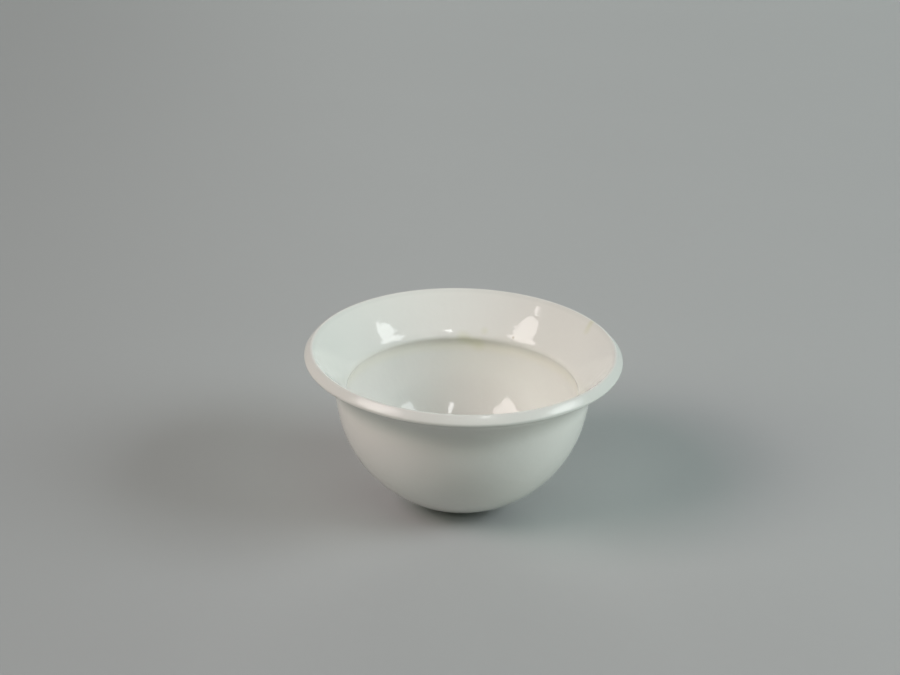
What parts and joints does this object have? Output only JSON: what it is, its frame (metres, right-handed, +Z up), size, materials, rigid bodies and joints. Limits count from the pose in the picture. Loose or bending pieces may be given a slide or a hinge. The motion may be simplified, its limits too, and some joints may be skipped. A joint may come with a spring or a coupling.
{
  "type": "dish",
  "caption": "Round white porcelain dish: half-round bowl under a wide flared flange with a square-cut lip, a bead inside the throat and a small flat seat.",
  "frame": {"origin": "centre of the flat seat that the dish stands on", "axes": "+Z up along the dish's axis of turning, out of its open mouth; X and Y are level, and any turn about Z is the same"},
  "size_m": [0.12, 0.12, 0.0627],
  "materials": {
    "porcelain": "glossy clear glaze over white porcelain, with a dry ground seat"
  },
  "bodies": {
    "root": {"dish": "porcelain"}
  },
  "joints": []
}
